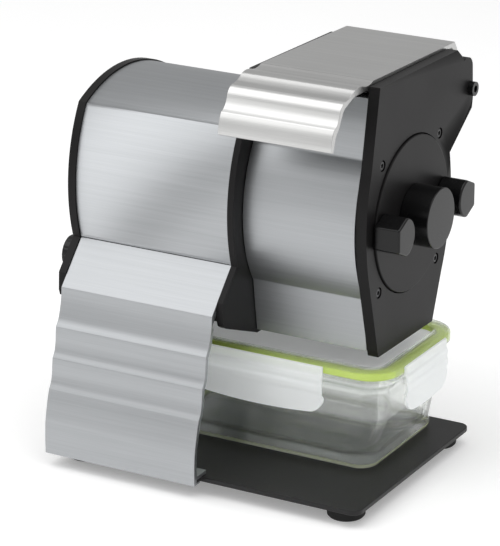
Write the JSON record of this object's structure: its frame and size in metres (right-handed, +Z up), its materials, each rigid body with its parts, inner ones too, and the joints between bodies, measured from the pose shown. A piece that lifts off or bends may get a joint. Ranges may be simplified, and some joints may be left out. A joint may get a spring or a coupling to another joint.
{
  "type": "rotary cheese grater",
  "caption": "Electric rotary cheese grater on a steel base: press lever over a pull-out grating drum, with a clip-lid glass box under the chute.",
  "frame": {"origin": "middle of the machine's footprint on the table", "axes": "+Z up, +X along the drum axis from the motor towards the drum cover, +Y from the front leg to the back"},
  "size_m": [0.2284, 0.1914, 0.2521],
  "materials": {
    "brushed_aluminium": "brushed along the machine's width, satin",
    "side_plate_black": "charcoal, fine matt texture",
    "black_steel": "black satin powder coat",
    "black_plastic": "black moulded plastic, low gloss",
    "steel": "turned and punched stainless steel",
    "cast_metal": "cast metal, bead blasted",
    "copper": "varnished copper windings",
    "rubber": "black rubber",
    "brass": "machined brass",
    "pale_plastic": "natural nylon",
    "lime_seal": "lime green silicone",
    "frosted_lid": "frosted translucent polypropylene",
    "clear_glass": "clear borosilicate glass with a green edge"
  },
  "bodies": {
    "frame": {"base_plate": "black_steel", "foot_front_left": "rubber", "foot_front_right": "rubber", "foot_rear_left": "rubber", "foot_rear_right": "rubber", "front_leg": "brushed_aluminium", "rear_leg": "brushed_aluminium", "left_side_plate": "side_plate_black", "middle_plate": "side_plate_black", "right_side_plate": "side_plate_black", "motor_shell": "brushed_aluminium", "bottom_cover": "black_steel", "grater_front_shell": "brushed_aluminium", "grater_rear_shell": "brushed_aluminium", "hopper_front_wall": "steel", "hopper_rear_wall": "steel", "tie_rod_front_top": "steel", "tie_rod_rear_top": "steel", "tie_rod_rear_bottom": "steel", "tie_rod_front_bottom": "steel", "cover_screw_front_top": "black_steel", "cover_screw_rear_top": "black_steel", "cover_screw_rear_bottom": "black_steel", "cover_screw_front_bottom": "black_steel", "hinge_pin": "steel", "gearbox_frame": "cast_metal", "motor_can": "black_steel", "motor_stator": "copper", "motor_end_bell": "cast_metal", "drive_bearing": "steel", "cord_gland": "rubber", "switch_body": "black_plastic", "idler_shaft": "steel"},
    "lever": {"press_lever": "brushed_aluminium", "pusher_block": "black_plastic"},
    "drum_carrier": {"drum_spindle": "steel"},
    "cover": {"drum_cover": "side_plate_black", "grip_boss": "black_plastic", "grip_wing_front": "black_plastic", "grip_wing_rear": "black_plastic"},
    "drum": {"grating_drum": "steel", "drum_cap_left": "pale_plastic", "drum_cap_right": "pale_plastic"},
    "output": {"drive_shaft": "steel", "output_gear": "brass"},
    "idler": {"idler_gear": "steel"},
    "rotor": {"motor_rotor": "steel", "motor_shaft": "steel", "motor_pinion": "brass"},
    "switch": {"switch_knob": "black_plastic"},
    "container": {"glass_box": "clear_glass", "box_lid": "frosted_lid", "lid_gasket": "lime_seal"},
    "front_clip": {"clip_front": "frosted_lid"},
    "right_clip": {"clip_right": "frosted_lid"},
    "rear_clip": {"clip_rear": "frosted_lid"},
    "left_clip": {"clip_left": "frosted_lid"}
  },
  "joints": [
    {"name": "lever_lift", "type": "hinge", "parent": "frame", "child": "lever", "pos_m": [0.0498, 0.09125, 0.218], "axis": [-1, 0, 0], "range_deg": [0, 100]},
    {"name": "drum_pull", "type": "slide", "parent": "frame", "child": "drum_carrier", "axis": [1, 0, 0], "range_m": [0, 0.085]},
    {"name": "cover_turn", "type": "hinge", "parent": "drum_carrier", "child": "cover", "pos_m": [0.0938, 0.01295, 0.1616], "axis": [1, 0, 0], "range_deg": [0, 45]},
    {"name": "drum_spin", "type": "hinge", "parent": "drum_carrier", "child": "drum", "pos_m": [0.0508, 0.01295, 0.1616], "axis": [1, 0, 0], "continuous": true},
    {"name": "output_spin", "type": "hinge", "parent": "frame", "child": "output", "pos_m": [-0.0072, 0.01295, 0.1616], "axis": [1, 0, 0], "continuous": true},
    {"name": "idler_spin", "type": "hinge", "parent": "frame", "child": "idler", "pos_m": [-0.0162, -0.0237, 0.17494], "axis": [1, 0, 0], "continuous": true},
    {"name": "motor_spin", "type": "hinge", "parent": "frame", "child": "rotor", "pos_m": [-0.0562, 0.00043, 0.15469], "axis": [1, 0, 0], "continuous": true},
    {"name": "switch_turn", "type": "hinge", "parent": "frame", "child": "switch", "pos_m": [-0.1062, -0.03425, 0.116], "axis": [1, 0, 0], "range_deg": [0, 90]},
    {"name": "container_slide", "type": "slide", "parent": "frame", "child": "container", "axis": [1, 0, 0], "range_m": [0, 0.18]},
    {"name": "front_clip_swing", "type": "hinge", "parent": "container", "child": "front_clip", "pos_m": [0.0208, -0.04065, 0.0756], "axis": [-1, 0, 0], "range_deg": [0, 90]},
    {"name": "right_clip_swing", "type": "hinge", "parent": "container", "child": "right_clip", "pos_m": [0.1072, 0.01175, 0.0756], "axis": [0, -1, 0], "range_deg": [0, 90]},
    {"name": "rear_clip_swing", "type": "hinge", "parent": "container", "child": "rear_clip", "pos_m": [0.0208, 0.06415, 0.0756], "axis": [1, 0, 0], "range_deg": [0, 90]},
    {"name": "left_clip_swing", "type": "hinge", "parent": "container", "child": "left_clip", "pos_m": [-0.0656, 0.01175, 0.0756], "axis": [0, 1, 0], "range_deg": [0, 90]}
  ],
  "couplings": [
    {"joint": "output_spin", "follows": "drum_spin", "ratio": 1},
    {"joint": "idler_spin", "follows": "drum_spin", "ratio": -3.3333},
    {"joint": "motor_spin", "follows": "drum_spin", "ratio": 10.667}
  ]
}
